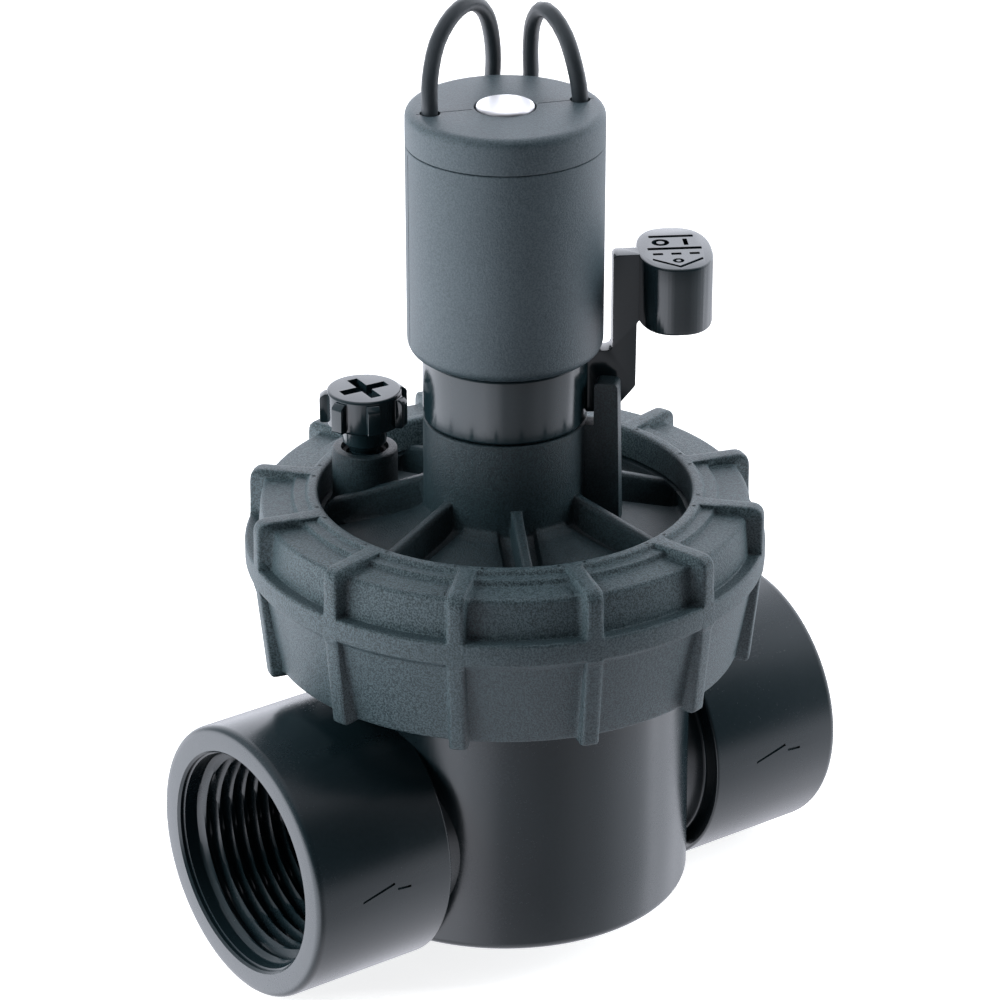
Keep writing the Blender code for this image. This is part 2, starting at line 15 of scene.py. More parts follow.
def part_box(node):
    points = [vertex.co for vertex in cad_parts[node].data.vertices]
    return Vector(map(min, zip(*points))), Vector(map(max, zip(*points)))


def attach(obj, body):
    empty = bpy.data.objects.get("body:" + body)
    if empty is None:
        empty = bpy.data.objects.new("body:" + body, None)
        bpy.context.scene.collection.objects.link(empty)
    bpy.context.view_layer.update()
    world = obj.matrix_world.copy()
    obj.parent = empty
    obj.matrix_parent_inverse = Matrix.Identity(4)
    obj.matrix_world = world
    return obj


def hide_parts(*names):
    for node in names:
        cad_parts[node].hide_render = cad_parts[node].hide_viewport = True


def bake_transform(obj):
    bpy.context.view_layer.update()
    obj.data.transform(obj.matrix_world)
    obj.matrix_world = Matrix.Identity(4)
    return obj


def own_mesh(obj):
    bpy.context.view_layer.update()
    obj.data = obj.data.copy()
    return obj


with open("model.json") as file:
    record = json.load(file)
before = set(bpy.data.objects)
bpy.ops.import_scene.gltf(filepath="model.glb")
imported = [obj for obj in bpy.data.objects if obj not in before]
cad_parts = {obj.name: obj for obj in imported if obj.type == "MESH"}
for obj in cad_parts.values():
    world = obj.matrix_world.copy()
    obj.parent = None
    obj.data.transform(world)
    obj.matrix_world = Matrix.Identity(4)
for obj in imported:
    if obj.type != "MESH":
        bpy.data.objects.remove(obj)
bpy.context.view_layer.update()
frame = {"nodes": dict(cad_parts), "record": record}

MM = 0.001
TURN = 2 * math.pi


# Driving sizes, many of them read from the frame


def low(node):
    """A CAD node's lowest corner, in millimetres."""
    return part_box(node)[0] / MM


def high(node):
    """A CAD node's highest corner, in millimetres."""
    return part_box(node)[1] / MM


PORT_REACH = high("valve_body").x
PORT_RADIUS = 21.0
HUB_START = 25.0
NECK_RADIUS = 18.0
BODY_TOP = high("valve_body").z
BOWL_RADIUS = 28.0
BOWL_BOTTOM = 5.33
BOWL_EDGE = 1.4
CHAMBER_RADIUS = 25.2
CHAMBER_FLOOR = 8.5
SEAT_TOP = 47.0
SEAT_BORE = 11.0
TUBE_WALL = 2.6
RING_TOP = high("lock_ring").z
RING_BOTTOM = 44.5
RING_HOLE = 27.9
RING_RADIUS = 39.0
RING_THREAD_RADIUS = 33.6
BODY_THREAD_RADIUS = 31.9
RING_LEAD = 5.0
LUG_COUNT = 12
LUG_START = math.radians(13.2)
TOWER_RADIUS = 12.2
TOWER_TOP = low("manual_handle").z - 0.3
RIB_COUNT = 7
RIB_START = math.radians(139.0)
RIB_HALF = 0.85
COLLAR_BOTTOM = low("manual_handle").z
COLLAR_TOP = 91.3
LEVER_TOP = high("manual_handle").z
LEVER_ANGLE = math.radians(-31.0)
POST_ANGLE = math.radians(-46.0)
BLEED_AT = (
    (low("bleed_screw").x + high("bleed_screw").x) / 2,
    (low("bleed_screw").y + high("bleed_screw").y) / 2,
)
BLEED_TOP = high("bleed_screw").z
COIL_RADIUS = high("solenoid_cap").x
COIL_BOTTOM = low("solenoid_housing").z
CAP_SEAM = high("solenoid_housing").z
COIL_TOP = high("solenoid_cap").z
CORE_TOP = high("fixed_core").z
CORE_RADIUS = 4.28
CORE_BOTTOM = 104.3
LEAD_RADIUS = 1.2
LEAD_HOLE_RADIUS = 1.5
LEAD_EXIT_RADIUS = 11.2
LEAD_EXIT_ANGLE = math.radians(159.0)
FACING = math.radians(-126.2)
BEHIND = math.radians(53.8)


# Mesh helpers


def piece(name, shape, look, sharp=35.0):
    """A bmesh as an object, with smooth shading that breaks at sharp edges."""
    bmesh.ops.remove_doubles(shape, verts=shape.verts, dist=1e-7)
    bmesh.ops.dissolve_degenerate(shape, edges=shape.edges, dist=1e-8)
    bmesh.ops.recalc_face_normals(shape, faces=shape.faces)
    mesh = bpy.data.meshes.new(name)
    shape.to_mesh(mesh)
    shape.free()
    mesh.shade_smooth()
    mesh.set_sharp_from_angle(angle=math.radians(sharp))
    if look:
        mesh.materials.append(look)
    obj = bpy.data.objects.new(name, mesh)
    bpy.context.scene.collection.objects.link(obj)
    return obj


def rounded(corners, steps=4, closed=True):
    """Corner points (across, up, fillet) with each corner eased, giving steps + 1 points a corner."""
    count = len(corners)
    found = []
    for i, (across, up, fillet) in enumerate(corners):
        here = Vector((across, up))
        if not closed and i in (0, count - 1):
            found.append((across, up))
            continue
        before = Vector(corners[i - 1][:2]) - here
        after = Vector(corners[(i + 1) % count][:2]) - here
        half_angle = max(before.angle(after), 0.01) / 2
        shortest = min(before.length, after.length)
        reach = max(min(fillet / math.tan(half_angle), 0.47 * shortest), 0.02 * shortest)
        start = here + before.normalized() * reach
        end = here + after.normalized() * reach
        for k in range(steps + 1):
            t = k / steps
            point = start * (1 - t) ** 2 + here * 2 * t * (1 - t) + end * t**2
            found.append((point.x, point.y))
    return found


def swept(name, columns, section, look, closed=True, sharp=35.0):
    """Sections (radius, height) stood round Z. A column is (angle, sideways offset, share)."""
    shape = bmesh.new()
    rings = []
    for angle, offset, share in columns:
        across = (-math.sin(angle), math.cos(angle))
        along = (math.cos(angle), math.sin(angle))
        ring = []
        for radius, height in section(angle, share):
            out = math.sqrt(max(radius * radius - offset * offset, 0.0))
            ring.append(
                shape.verts.new(
                    (
                        (along[0] * out + across[0] * offset) * MM,
                        (along[1] * out + across[1] * offset) * MM,
                        height * MM,
                    )
                )
            )
        rings.append(ring)
    for here, after in zip(rings, rings[1:] + rings[:1]):
        last = len(here) if closed else len(here) - 1
        for i in range(last):
            k = (i + 1) % len(here)
            shape.faces.new((here[i], after[i], after[k], here[k]))
    return piece(name, shape, look, sharp)


def even_columns(count):
    """Columns evenly round Z, with no sideways offset and share 0."""
    return [(TURN * i / count, 0.0, 0.0) for i in range(count)]


def lathe(name, corners, look, columns=128, closed=True, steps=4, at=(0.0, 0.0), sharp=35.0):
    """A turned piece from eased corners; an open profile starts and ends on the axis."""
    points = rounded(corners, steps, closed)
    obj = swept(name, even_columns(columns), lambda angle, share: points, look, closed, sharp)
    obj.data.transform(Matrix.Translation((at[0] * MM, at[1] * MM, 0.0)))
    return obj


def rod(name, radius, top, bottom, eases=(0.1, 0.1), look=None, columns=96, at=(0.0, 0.0)):
    """A plain upright cylinder, with its top and bottom edges eased."""
    corners = [(0, top, 0), (radius, top, eases[0]), (radius, bottom, eases[1]), (0, bottom, 0)]
    return lathe(name, corners, look, columns, closed=False, at=at)


def rectangle(half_across, half_up, fillet):
    """Corners for a slab: a rectangle about the middle."""
    corners = ((-1, -1), (1, -1), (1, 1), (-1, 1))
    return [(across * half_across, up * half_up, fillet) for across, up in corners]


def part_way(first, second, share):
    """The points a share of the way from one outline to another."""
    return [(a[0] + (b[0] - a[0]) * share, a[1] + (b[1] - a[1]) * share) for a, b in zip(first, second)]


def slab(name, corners, near, far, look=None, upright=False, turn=0.0, ease=0.3, at=(0.0, 0.0), steps=4):
    """An outline with eased corners, thickened from near to far across its plane, with eased rims."""
    outline = rounded(corners, steps)
    shape = bmesh.new()
    base = [shape.verts.new((across * MM, up * MM, near * MM)) for across, up in outline]
    bottom = shape.faces.new(base)
    top = bmesh.ops.extrude_face_region(shape, geom=[bottom])
    lifted = [v for v in top["geom"] if isinstance(v, bmesh.types.BMVert)]
    bmesh.ops.translate(shape, verts=lifted, vec=(0.0, 0.0, (far - near) * MM))
    bmesh.ops.recalc_face_normals(shape, faces=shape.faces)
    if ease > 0:
        rims = [e for e in shape.edges if abs(e.verts[0].co.z - e.verts[1].co.z) < 1e-9]
        bmesh.ops.bevel(
            shape,
            geom=rims,
            offset=ease * MM,
            segments=3,
            profile=0.5,
            affect="EDGES",
            clamp_overlap=True,
        )
    place = Matrix.Translation((at[0] * MM, at[1] * MM, 0.0)) @ Matrix.Rotation(turn, 4, "Z")
    if upright:
        place = place @ Matrix.Rotation(math.pi / 2, 4, "X")
    bmesh.ops.transform(shape, matrix=place, verts=shape.verts)
    return piece(name, shape, look)


def joined(obj, operation, *others, sharp=35.0):
    """The object with the others added or cut away, as one plain mesh."""
    for other in others:
        modifier = obj.modifiers.new(other.name, "BOOLEAN")
        modifier.operation = operation
        modifier.object = other
    graph = bpy.context.evaluated_depsgraph_get()
    mesh = bpy.data.meshes.new_from_object(obj.evaluated_get(graph))
    obj.modifiers.clear()
    obj.data = mesh
    for other in others:
        bpy.data.objects.remove(other, do_unlink=True)
    mesh.shade_smooth()
    mesh.set_sharp_from_angle(angle=math.radians(sharp))
    return obj


def union(obj, *others, sharp=35.0):
    return joined(obj, "UNION", *others, sharp=sharp)


def cut(obj, *others, sharp=35.0):
    return joined(obj, "DIFFERENCE", *others, sharp=sharp)


def laid_along_x(obj, height):
    """A piece turned about Z laid down along X, with its own +Z towards +X, at that height."""
    lay = Matrix.Translation((0.0, 0.0, height * MM)) @ Matrix.Rotation(math.pi / 2, 4, "Y")
    obj.data.transform(lay)
    return obj


def tube(name, path, radius, look, sides=14):
    """A round tube along a smooth path in millimetres, with closed ends and no twist."""
    shape = bmesh.new()
    places = [Vector(p) for p in path]
    normal = None
    rings = []
    for i, place in enumerate(places):
        ahead = (places[min(i + 1, len(places) - 1)] - places[max(i - 1, 0)]).normalized()
        if normal is None:
            normal = ahead.orthogonal().normalized()
        normal = (normal - ahead * normal.dot(ahead)).normalized()
        side = ahead.cross(normal)
        rings.append(
            [
                shape.verts.new((place + (normal * math.cos(a) + side * math.sin(a)) * radius) * MM)
                for a in (TURN * k / sides for k in range(sides))
            ]
        )
    for here, after in zip(rings, rings[1:]):
        for k in range(sides):
            n = (k + 1) % sides
            shape.faces.new((here[k], here[n], after[n], after[k]))
    shape.faces.new(rings[0])
    shape.faces.new(rings[-1])
    return piece(name, shape, look, sharp=60)


def spline(points, spacing):
    """Points about a spacing apart on a Catmull-Rom curve through the route's own points."""
    places = [Vector(p) for p in points]
    ends = [2 * places[0] - places[1], *places, 2 * places[-1] - places[-2]]
    found = [places[0]]
    for before, start, end, after in zip(ends, ends[1:], ends[2:], ends[3:]):
        pieces = max(1, round((end - start).length / spacing))
        for i in range(1, pieces + 1):
            t = i / pieces
            found.append(
                0.5
                * (
                    2 * start
                    + (end - before) * t
                    + (2 * before - 5 * start + 4 * end - after) * t**2
                    + (3 * start - before - 3 * end + after) * t**3
                )
            )
    return found


def behind(back, aside, height):
    """A place given by its distance behind the spindle, its offset to the outlet's side, and its height."""
    across = BEHIND + math.pi / 2
    return Vector(
        (
            back * math.cos(BEHIND) + aside * math.cos(across),
            back * math.sin(BEHIND) + aside * math.sin(across),
            height,
        )
    )


# Materials


def nodes_of(name):
    """A new material with its node tree and its Principled shader."""
    made = bpy.data.materials.new(name)
    made.use_nodes = True
    return made, made.node_tree, made.node_tree.nodes["Principled BSDF"]


def plastic(name, dark, light, roughness, grain_size, grain_depth, speckle=0.5, spread=0.14):
    """Moulded plastic: fine grain in bump, colour and roughness, over slow cloudy variation."""
    made, tree, shader = nodes_of(name)
    add = tree.nodes.new
    link = tree.links.new
    place = add("ShaderNodeTexCoord")
    grain = add("ShaderNodeTexNoise")
    grain.inputs["Scale"].default_value = 1 / (grain_size * MM)
    grain.inputs["Detail"].default_value = 3.0
    grain.inputs["Roughness"].default_value = 0.65
    clouds = add("ShaderNodeTexNoise")
    clouds.inputs["Scale"].default_value = 90.0
    clouds.inputs["Detail"].default_value = 2.0
    link(place.outputs["Object"], grain.inputs["Vector"])
    link(place.outputs["Object"], clouds.inputs["Vector"])
    mixed = add("ShaderNodeMix")
    mixed.data_type = "FLOAT"
    mixed.inputs[0].default_value = speckle
    link(clouds.outputs["Fac"], mixed.inputs[2])
    link(grain.outputs["Fac"], mixed.inputs[3])
    tint = add("ShaderNodeValToRGB")
    tint.color_ramp.elements[0].position = 0.5 - spread
    tint.color_ramp.elements[0].color = (*dark, 1.0)
    tint.color_ramp.elements[1].position = 0.5 + spread
    tint.color_ramp.elements[1].color = (*light, 1.0)
    link(mixed.outputs[0], tint.inputs["Fac"])
    link(tint.outputs["Color"], shader.inputs["Base Color"])
    rough = add("ShaderNodeMapRange")
    rough.inputs["From Min"].default_value = 0.3
    rough.inputs["From Max"].default_value = 0.7
    rough.inputs["To Min"].default_value = roughness - 0.06
    rough.inputs["To Max"].default_value = roughness + 0.06
    link(mixed.outputs[0], rough.inputs["Value"])
    link(rough.outputs["Result"], shader.inputs["Roughness"])
    bump = add("ShaderNodeBump")
    bump.inputs["Strength"].default_value = 1.0
    bump.inputs["Distance"].default_value = grain_depth * MM
    link(grain.outputs["Fac"], bump.inputs["Height"])
    link(bump.outputs["Normal"], shader.inputs["Normal"])
    return made


def metal(name, color, roughness, stretch):
    """Turned or drawn metal, with fine lines along the stretch."""
    made, tree, shader = nodes_of(name)
    add = tree.nodes.new
    link = tree.links.new
    place = add("ShaderNodeTexCoord")
    spread = add("ShaderNodeMapping")
    spread.inputs["Scale"].default_value = stretch
    lines = add("ShaderNodeTexNoise")
    lines.inputs["Scale"].default_value = 900.0
    lines.inputs["Detail"].default_value = 2.0
    link(place.outputs["Object"], spread.inputs["Vector"])
    link(spread.outputs["Vector"], lines.inputs["Vector"])
    rough = add("ShaderNodeMapRange")
    rough.inputs["To Min"].default_value = roughness - 0.07
    rough.inputs["To Max"].default_value = roughness + 0.07
    link(lines.outputs["Fac"], rough.inputs["Value"])
    link(rough.outputs["Result"], shader.inputs["Roughness"])
    bump = add("ShaderNodeBump")
    bump.inputs["Distance"].default_value = 0.01 * MM
    link(lines.outputs["Fac"], bump.inputs["Height"])
    link(bump.outputs["Normal"], shader.inputs["Normal"])
    shader.inputs["Base Color"].default_value = (*color, 1.0)
    shader.inputs["Metallic"].default_value = 1.0
    return made


BODY_PLASTIC = plastic(
    "body_plastic",
    dark=(0.008, 0.018, 0.022),
    light=(0.010, 0.020, 0.025),
    roughness=0.24,
    grain_size=0.5,
    grain_depth=0.004,
)
GRAINED_PLASTIC = plastic(
    "grained_plastic",
    dark=(0.008, 0.020, 0.024),
    light=(0.066, 0.098, 0.110),
    roughness=0.5,
    grain_size=0.26,
    grain_depth=0.12,
    speckle=1.0,
    spread=0.07,
)
# A darker copy of the grained plastic for the bonnet: painted shade, standing in for the shade that falls in
# the recess inside the lock ring and under the solenoid.
GRAINED_PLASTIC_PAINTED_SHADE = plastic(
    "grained_plastic_painted_shade",
    dark=(0.006, 0.013, 0.016),
    light=(0.018, 0.034, 0.040),
    roughness=0.46,
    grain_size=0.26,
    grain_depth=0.12,
    speckle=1.0,
    spread=0.07,
)
GLOSS_PLASTIC = plastic(
    "gloss_plastic",
    dark=(0.008, 0.019, 0.023),
    light=(0.010, 0.021, 0.026),
    roughness=0.16,
    grain_size=0.6,
    grain_depth=0.003,
)
COIL_RESIN = plastic(
    "coil_resin",
    dark=(0.028, 0.045, 0.053),
    light=(0.070, 0.096, 0.110),
    roughness=0.48,
    grain_size=0.26,
    grain_depth=0.06,
    speckle=0.9,
    spread=0.1,
)
RUBBER = plastic(
    "rubber",
    dark=(0.010, 0.011, 0.012),
    light=(0.018, 0.019, 0.020),
    roughness=0.75,
    grain_size=0.4,
    grain_depth=0.03,
)
NYLON = plastic(
    "nylon",
    dark=(0.68, 0.65, 0.57),
    light=(0.76, 0.73, 0.66),
    roughness=0.45,
    grain_size=0.8,
    grain_depth=0.01,
)
INSULATION = plastic(
    "lead_insulation",
    dark=(0.02, 0.026, 0.03),
    light=(0.026, 0.033, 0.038),
    roughness=0.4,
    grain_size=0.5,
    grain_depth=0.01,
)
STEEL = metal("steel", (0.86, 0.86, 0.87), 0.42, (1.0, 1.0, 0.05))
COPPER = metal("copper", (0.83, 0.42, 0.25), 0.3, (0.1, 1.0, 1.0))
LOOKS = {
    "body_plastic": BODY_PLASTIC,
    "grained_plastic": GRAINED_PLASTIC,
    "gloss_plastic": GLOSS_PLASTIC,
    "coil_resin": COIL_RESIN,
    "rubber": RUBBER,
    "nylon": NYLON,
    "lead_insulation": INSULATION,
    "steel": STEEL,
    "copper": COPPER,
}


def stands_for(obj, body, slot, *nodes):
    """The piece replaces CAD nodes and rides on their body. The slot is not used."""
    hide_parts(*nodes)
    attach(obj, body)
    return obj


def dress_hidden_nodes():
    """CAD nodes that stay as they are get the worked-up material of their slot."""
    for entry in frame["record"]["subparts"]:
        node = frame["nodes"][entry["node"]]
        node.data.materials.clear()
        node.data.materials.append(LOOKS[entry["material_slot"]])
        node.data.shade_smooth()
        node.data.set_sharp_from_angle(angle=math.radians(35))


# Valve body

PORT_BORE = 12.5
MOUTH_RADIUS = 16.9
THREAD_ROOT = 16.65
THREAD_PITCH = 2.209
THREAD_HEIGHT = 1.45
THREAD_START = 2.2
THREAD_DEPTH = 19.0
THREAD_STEPS = 10
FLANK_START = 0.3
FLANK_WIDTH = 0.62
TAPER = 1 / 32
OUTLET_MARK = -36.7
INLET_MARK = 37.0


def thread_wave(phase):
    """Share of the thread's height at a phase: a narrow crest between wide sloping flanks."""
    place = abs((phase % 1.0) - 0.5) * 2
    return min(1.0, max(0.0, (place - FLANK_START) / FLANK_WIDTH))


def mouth_plug(name):
    """The air in a port's mouth, about Z with the face at the origin: a step, a lead-in and the thread."""
    steps = int((THREAD_DEPTH - THREAD_START) / THREAD_PITCH * THREAD_STEPS)
    end = -THREAD_START - THREAD_PITCH * steps / THREAD_STEPS

    def section(angle, share):
        points = [
            (0.0, 1.0),
            (MOUTH_RADIUS + 0.35, 1.0),
            (MOUTH_RADIUS + 0.35, -0.02),
            (MOUTH_RADIUS, -0.35),
            (MOUTH_RADIUS, -0.9),
            (THREAD_ROOT, -1.0),
            (THREAD_ROOT - THREAD_START * TAPER, -THREAD_START),
        ]
        for i in range(1, steps + 1):
            height = -THREAD_START - THREAD_PITCH * i / THREAD_STEPS
            wave = thread_wave(height / THREAD_PITCH - angle / TURN)
            ends = min(1.0, i / THREAD_STEPS, (steps - i) / THREAD_STEPS)
            points.append((THREAD_ROOT + height * TAPER - THREAD_HEIGHT * wave * ends, height))
        return points + [(PORT_BORE - 0.4, end - 2.2), (0.0, end - 2.2)]

    return swept(name, even_columns(144), section, None, closed=False)


def flow_arrow(name, middle):
    """A shallow arrow to cut in a port's side: a long rising stroke, then a short dash beyond its tip."""
    depth = PORT_RADIUS - 0.3
    stroke = [(-4.35, 0.0, 0.1), (-4.2, 0.38, 0.1), (1.35, 1.8, 0.1), (1.5, 1.4, 0.1)]
    dash = [(1.9, 0.78, 0.1), (4.3, 0.5, 0.1), (4.3, 0.12, 0.1), (1.9, 0.35, 0.1)]
    marks = [
        slab(f"{name}_stroke", stroke, depth, PORT_RADIUS + 1, ease=0),
        slab(f"{name}_dash", dash, depth, PORT_RADIUS + 1, ease=0),
    ]
    upright = Matrix.Rotation(math.pi / 2, 4, "X")
    for mark in marks:
        mark.data.transform(Matrix.Translation((middle * MM, 0.0, PORT_RADIUS * MM)) @ upright)
    return marks


def body_thread(angle, height):
    """Radius of the body's coarse outer thread at an angle and height."""
    wave = (height / RING_LEAD - angle / TURN) % 1.0
    rise = max(0.0, min(1.0, (0.22 - abs(wave - 0.5)) / 0.1))
    fade = max(0.0, min(1.0, (BODY_TOP - 0.8 - height) / 1.5, (height - 48.2) / 1.5))
    return BODY_THREAD_RADIUS + 1.3 * rise * fade


def make_body():
    """The bowl with its threaded neck, both ports with pipe thread, the seat tube and the foot."""
    neck = [48.0 + 0.35 * i for i in range(int((BODY_TOP - 48.0) / 0.35))]

    def section(angle, share):
        points = [(0.0, BODY_TOP), (31.3, BODY_TOP), (31.8, BODY_TOP - 0.4)]
        points += [(body_thread(angle, height), height) for height in reversed(neck)]
        points += [(BODY_THREAD_RADIUS, 47.6), (BOWL_RADIUS, 44.6), (BOWL_RADIUS, 30.0), (BOWL_RADIUS, 15.0)]
        for i in range(7):
            bend = math.pi / 2 * i / 6
            inward = BOWL_EDGE * (1 - math.cos(bend))
            points.append((BOWL_RADIUS - inward, BOWL_BOTTOM + BOWL_EDGE * (1 - math.sin(bend))))
        return points + [(0.0, BOWL_BOTTOM)]

    body = swept("valve_body_shell", even_columns(192), section, BODY_PLASTIC, closed=False)
    reach = PORT_REACH
    half = [(PORT_RADIUS, reach, 1.2), (PORT_RADIUS, HUB_START, 0.5), (NECK_RADIUS, HUB_START, 0.6)]
    other_half = [(radius, -height, ease) for radius, height, ease in reversed(half)]
    port = [(0, reach, 0), *half, *other_half, (0, -reach, 0)]
    ports = laid_along_x(lathe("ports", port, None, columns=192, closed=False, steps=6), PORT_RADIUS)
    foot_long = slab("foot_long", rectangle(14.0, 1.6, 0.4), 0, 7, ease=0.2)
    foot_cross = slab("foot_cross", rectangle(1.6, 14.0, 0.4), 0, 7, ease=0.2)
    union(body, ports, foot_long, foot_cross)
    chamber = rod("chamber", CHAMBER_RADIUS, BODY_TOP + 2, CHAMBER_FLOOR, (0.1, 2.0))
    seat_tube = rod("seat_tube", SEAT_BORE + TUBE_WALL, SEAT_TOP, CHAMBER_FLOOR - 1.5, (0.4, 0.1))
    elbow = rod("elbow", PORT_BORE + TUBE_WALL, 2.0, -CHAMBER_RADIUS - 1.8, (1.0, 0.1))
    cut(chamber, seat_tube, laid_along_x(elbow, PORT_RADIUS))
    groove = lathe(
        "bead_groove",
        [(28.2, BODY_TOP + 1, 0), (31.2, BODY_TOP + 1, 0), (31.2, 56.2, 0.3), (28.2, 56.2, 0.3)],
        None,
        columns=128,
    )
    seat_bore = rod("seat_bore", SEAT_BORE, SEAT_TOP + 2, 14, (0.1, 0.5))
    outlet = rod("outlet", PORT_BORE, 0, -reach + 5, (0.5, 0.1))
    inlet = rod("inlet", PORT_BORE, reach - 5, 18)
    inlet_mouth = mouth_plug("inlet_mouth")
    inlet_mouth.data.transform(Matrix.Translation((0, 0, reach * MM)))
    outlet_mouth = mouth_plug("outlet_mouth")
    outlet_mouth.data.transform(Matrix.Rotation(math.pi, 4, "Y") @ Matrix.Translation((0, 0, reach * MM)))
    for bore in (outlet, inlet, inlet_mouth, outlet_mouth):
        laid_along_x(bore, PORT_RADIUS)
    marks = flow_arrow("outlet_arrow", OUTLET_MARK) + flow_arrow("inlet_arrow", INLET_MARK)
    cut(body, chamber, groove, seat_bore, outlet, inlet, inlet_mouth, outlet_mouth, *marks, sharp=28)
    return stands_for(body, "root", "body_plastic", "valve_body")


# Lock ring


def lug_columns(half, soft, between):
    """Columns round Z for the lugs: share 1 on a lug and 0 between, with eased sides."""
    columns = []
    edge = [(half + 0.5 * soft + 0.5, 0.0), (half + 0.5 * soft, 0.03), (half + 0.1, 0.12), (half, 0.82)]
    edge += [(half - 0.3 * soft, 0.965), (half - soft, 1.0)]
    for i in range(LUG_COUNT):
        angle = LUG_START + TURN * i / LUG_COUNT
        columns += [(angle, -offset, share) for offset, share in edge]
        columns += [(angle, offset, share) for offset, share in reversed(edge)]
        margin = 0.12 * TURN / LUG_COUNT
        span = TURN / LUG_COUNT - 2 * margin
        columns += [(angle + margin + span * k / between, 0.0, 0.0) for k in range(between + 1)]
    return columns


def make_lock_ring():
    """The grip ring: one section between the lugs and another along them, with a coarse inner thread."""
    panel = [
        (RING_HOLE, 64.7, 0.2),
        (RING_HOLE, RING_TOP, 0.7),
        (29.5, RING_TOP, 0.7),
        (29.9, 68.7, 0.25),
        (31.6, 68.75, 0.25),
        (32.0, 68.05, 0.25),
        (36.5, 67.95, 0.8),
        (37.0, 61.85, 0.25),
        (RING_RADIUS, 61.95, 0.5),
        (RING_RADIUS, 58.4, 0.8),
        (37.75, 57.8, 1.6),
        (35.35, RING_BOTTOM, 0.6),
        (33.9, RING_BOTTOM, 0.4),
    ]
    lug = [
        (RING_HOLE, 64.7, 0.2),
        (RING_HOLE, RING_TOP, 0.7),
        (29.5, RING_TOP, 0.3),
        (31.0, RING_TOP, 0.3),
        (32.5, RING_TOP, 0.3),
        (34.0, RING_TOP, 0.5),
        (RING_RADIUS, RING_TOP, 2.1),
        (RING_RADIUS, 64.2, 0.5),
        (RING_RADIUS, 61.95, 0.4),
        (RING_RADIUS, 58.4, 0.6),
        (38.75, 57.5, 0.4),
        (37.3, RING_BOTTOM - 0.6, 0.6),
        (34.6, RING_BOTTOM - 0.5, 0.4),
    ]
    inner_heights = [RING_BOTTOM + 0.6 + 0.4 * i for i in range(int((64.3 - RING_BOTTOM - 0.6) / 0.4))]

    def inner_radius(angle, height):
        wave = (height / RING_LEAD - angle / TURN) % 1.0
        from_groove = min(wave, 1 - wave)
        rise = max(0.0, min(1.0, (0.2 - from_groove) / 0.1))
        fade = max(0.0, min(1.0, (57.0 - height) / 1.5, (height - 48.0) / 1.5))
        return RING_THREAD_RADIUS - 1.0 * rise * fade

    panel_points = rounded(panel, 5)
    lug_points = rounded(lug, 5)

    def section(angle, share):
        inner = [(inner_radius(angle, height), height) for height in inner_heights]
        return part_way(panel_points, lug_points, share) + inner

    columns = lug_columns(half=1.3, soft=0.7, between=8)
    ring = swept("lock_ring_moulding", columns, section, GRAINED_PLASTIC, sharp=50)
    return stands_for(ring, "lock_ring", "grained_plastic", "lock_ring")


# Bonnet


